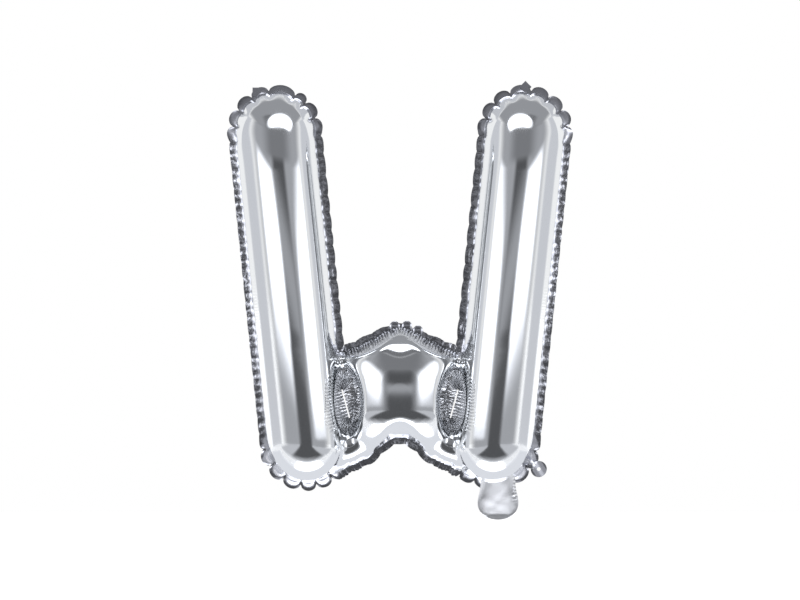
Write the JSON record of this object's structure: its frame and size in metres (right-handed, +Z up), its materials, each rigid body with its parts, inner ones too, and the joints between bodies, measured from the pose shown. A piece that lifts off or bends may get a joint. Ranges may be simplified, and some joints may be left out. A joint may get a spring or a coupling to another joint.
{
  "type": "letter foil balloon",
  "caption": "Filled silver foil balloon shaped as a capital W, with a welded seam margin, two welded slits, a filling neck and a hanging tab.",
  "frame": {"origin": "middle of the letter in the seam plane, half way up its 350 mm height, where the balloon is held in the air", "axes": "+Z up the letter, +X to the viewer's right, the viewer looks along +Y"},
  "size_m": [0.2996, 0.0694, 0.3788],
  "materials": {
    "film": "bright metallised polyester film",
    "seam": "creased metallised film, heat welded",
    "valve": "clear polyethylene film"
  },
  "bodies": {
    "root": {"front_film": "film", "back_film": "film", "outer_seam": "seam", "left_slit_seam": "seam", "right_slit_seam": "seam", "neck_front_ply": "film", "neck_back_ply": "film", "valve_sleeve": "valve", "hanging_tab": "seam"}
  },
  "joints": []
}
